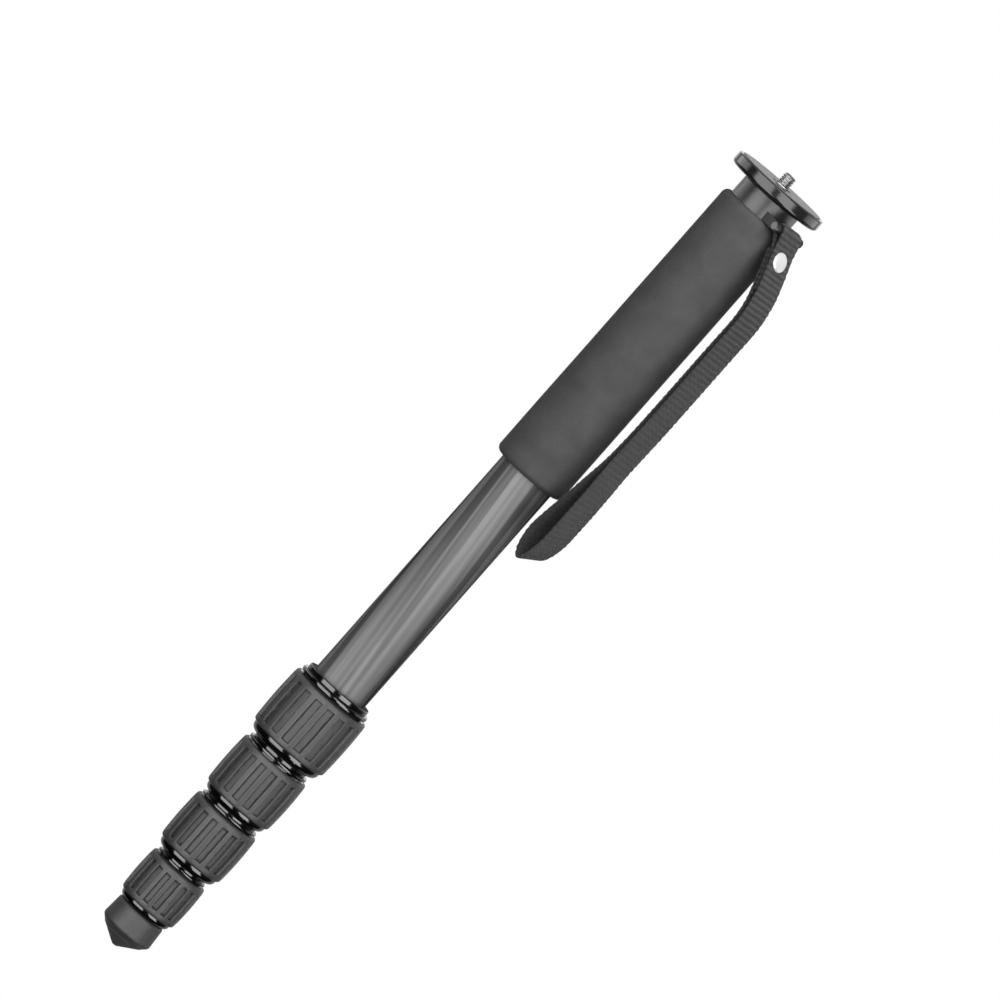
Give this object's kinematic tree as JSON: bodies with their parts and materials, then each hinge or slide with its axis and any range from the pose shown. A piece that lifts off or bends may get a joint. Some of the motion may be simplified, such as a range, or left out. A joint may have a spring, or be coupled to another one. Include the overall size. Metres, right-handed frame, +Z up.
{
  "type": "camera monopod",
  "caption": "Telescoping carbon camera monopod with twist locks, foam hand grip, wrist strap, rubber foot and a turning platform with a camera stud.",
  "frame": {"origin": "tip of the rubber foot, on the pole's axis", "axes": "+Z up the pole to the camera stud; +X towards the strap lug; the pole is shown collapsed"},
  "size_m": [0.0627, 0.0484, 0.4555],
  "materials": {
    "carbon": "lacquered carbon fibre with long slanting bands",
    "foam": "soft matt closed-cell foam",
    "rubber": "matt moulded rubber",
    "pad_rubber": "matt rubber sheet",
    "gunmetal": "satin anodised, gunmetal",
    "gloss_black": "polished and anodised black",
    "black_metal": "satin black paint",
    "stud_steel": "bright turned steel",
    "screw_steel": "blackened steel",
    "plug_metal": "plain turned",
    "rivet_nickel": "bright nickel plate",
    "webbing": "ribbed woven nylon",
    "nylon": "natural nylon",
    "washer": "matt acetal"
  },
  "bodies": {
    "pole": {"tube_1": "carbon", "foam_grip": "foam", "top_collar": "gunmetal", "strap_lug": "black_metal", "lug_pin": "stud_steel", "lug_screws": "screw_steel", "platform_washer": "washer", "lock_sleeve_1": "gloss_black"},
    "platform": {"platform_disc": "gunmetal", "platform_pad": "pad_rubber", "camera_stud": "stud_steel", "stud_grub_screw": "screw_steel", "retaining_ring": "screw_steel"},
    "strap": {"wrist_strap": "webbing", "rivet_cap": "rivet_nickel", "rivet_back": "rivet_nickel"},
    "section_2": {"tube_2": "carbon", "guide_shims_2": "nylon", "lock_sleeve_2": "gloss_black"},
    "section_3": {"tube_3": "carbon", "guide_shims_3": "nylon", "lock_sleeve_3": "gloss_black"},
    "section_4": {"tube_4": "carbon", "guide_shims_4": "nylon", "lock_sleeve_4": "gloss_black"},
    "section_5": {"tube_5": "carbon", "guide_shims_5": "nylon", "foot_plug": "plug_metal", "rubber_foot": "rubber"},
    "collet_1": {"lock_collet_1": "nylon"},
    "lock_1": {"lock_nut_1": "gloss_black", "lock_grip_1": "rubber", "dust_seal_1": "rubber"},
    "collet_2": {"lock_collet_2": "nylon"},
    "lock_2": {"lock_nut_2": "gloss_black", "lock_grip_2": "rubber", "dust_seal_2": "rubber"},
    "collet_3": {"lock_collet_3": "nylon"},
    "lock_3": {"lock_nut_3": "gloss_black", "lock_grip_3": "rubber", "dust_seal_3": "rubber"},
    "collet_4": {"lock_collet_4": "nylon"},
    "lock_4": {"lock_nut_4": "gloss_black", "lock_grip_4": "rubber", "dust_seal_4": "rubber"}
  },
  "joints": [
    {"name": "platform_turn", "type": "hinge", "parent": "pole", "child": "platform", "pos_m": [0, 0, 0.4436], "axis": [0, 0, 1], "continuous": true},
    {"name": "strap_swing", "type": "hinge", "parent": "pole", "child": "strap", "pos_m": [0.021, 0, 0.4355], "axis": [0, -1, 0], "range_deg": [0, 90]},
    {"name": "section_2_slide", "type": "slide", "parent": "pole", "child": "section_2", "axis": [0, 0, -1], "range_m": [0, 0.25]},
    {"name": "section_3_slide", "type": "slide", "parent": "section_2", "child": "section_3", "axis": [0, 0, -1], "range_m": [0, 0.276]},
    {"name": "section_4_slide", "type": "slide", "parent": "section_3", "child": "section_4", "axis": [0, 0, -1], "range_m": [0, 0.3]},
    {"name": "section_5_slide", "type": "slide", "parent": "section_4", "child": "section_5", "axis": [0, 0, -1], "range_m": [0, 0.318]},
    {"name": "lock_1_travel", "type": "slide", "parent": "pole", "child": "collet_1", "axis": [0, 0, 1], "range_m": [0, 0.0005]},
    {"name": "lock_1_twist", "type": "hinge", "parent": "collet_1", "child": "lock_1", "pos_m": [0, 0, 0.1145], "axis": [0, 0, 1], "range_deg": [0, 119]},
    {"name": "lock_2_travel", "type": "slide", "parent": "section_2", "child": "collet_2", "axis": [0, 0, 1], "range_m": [0, 0.0005]},
    {"name": "lock_2_twist", "type": "hinge", "parent": "collet_2", "child": "lock_2", "pos_m": [0, 0, 0.081], "axis": [0, 0, 1], "range_deg": [0, 119]},
    {"name": "lock_3_travel", "type": "slide", "parent": "section_3", "child": "collet_3", "axis": [0, 0, 1], "range_m": [0, 0.0005]},
    {"name": "lock_3_twist", "type": "hinge", "parent": "collet_3", "child": "lock_3", "pos_m": [0, 0, 0.0485], "axis": [0, 0, 1], "range_deg": [0, 119]},
    {"name": "lock_4_travel", "type": "slide", "parent": "section_4", "child": "collet_4", "axis": [0, 0, 1], "range_m": [0, 0.0005]},
    {"name": "lock_4_twist", "type": "hinge", "parent": "collet_4", "child": "lock_4", "pos_m": [0, 0, 0.02], "axis": [0, 0, 1], "range_deg": [0, 119]}
  ],
  "couplings": [
    {"joint": "lock_1_travel", "follows": "lock_1_twist", "m_per_rad": 0.00023873},
    {"joint": "lock_2_travel", "follows": "lock_2_twist", "m_per_rad": 0.00023873},
    {"joint": "lock_3_travel", "follows": "lock_3_twist", "m_per_rad": 0.00023873},
    {"joint": "lock_4_travel", "follows": "lock_4_twist", "m_per_rad": 0.00023873}
  ]
}
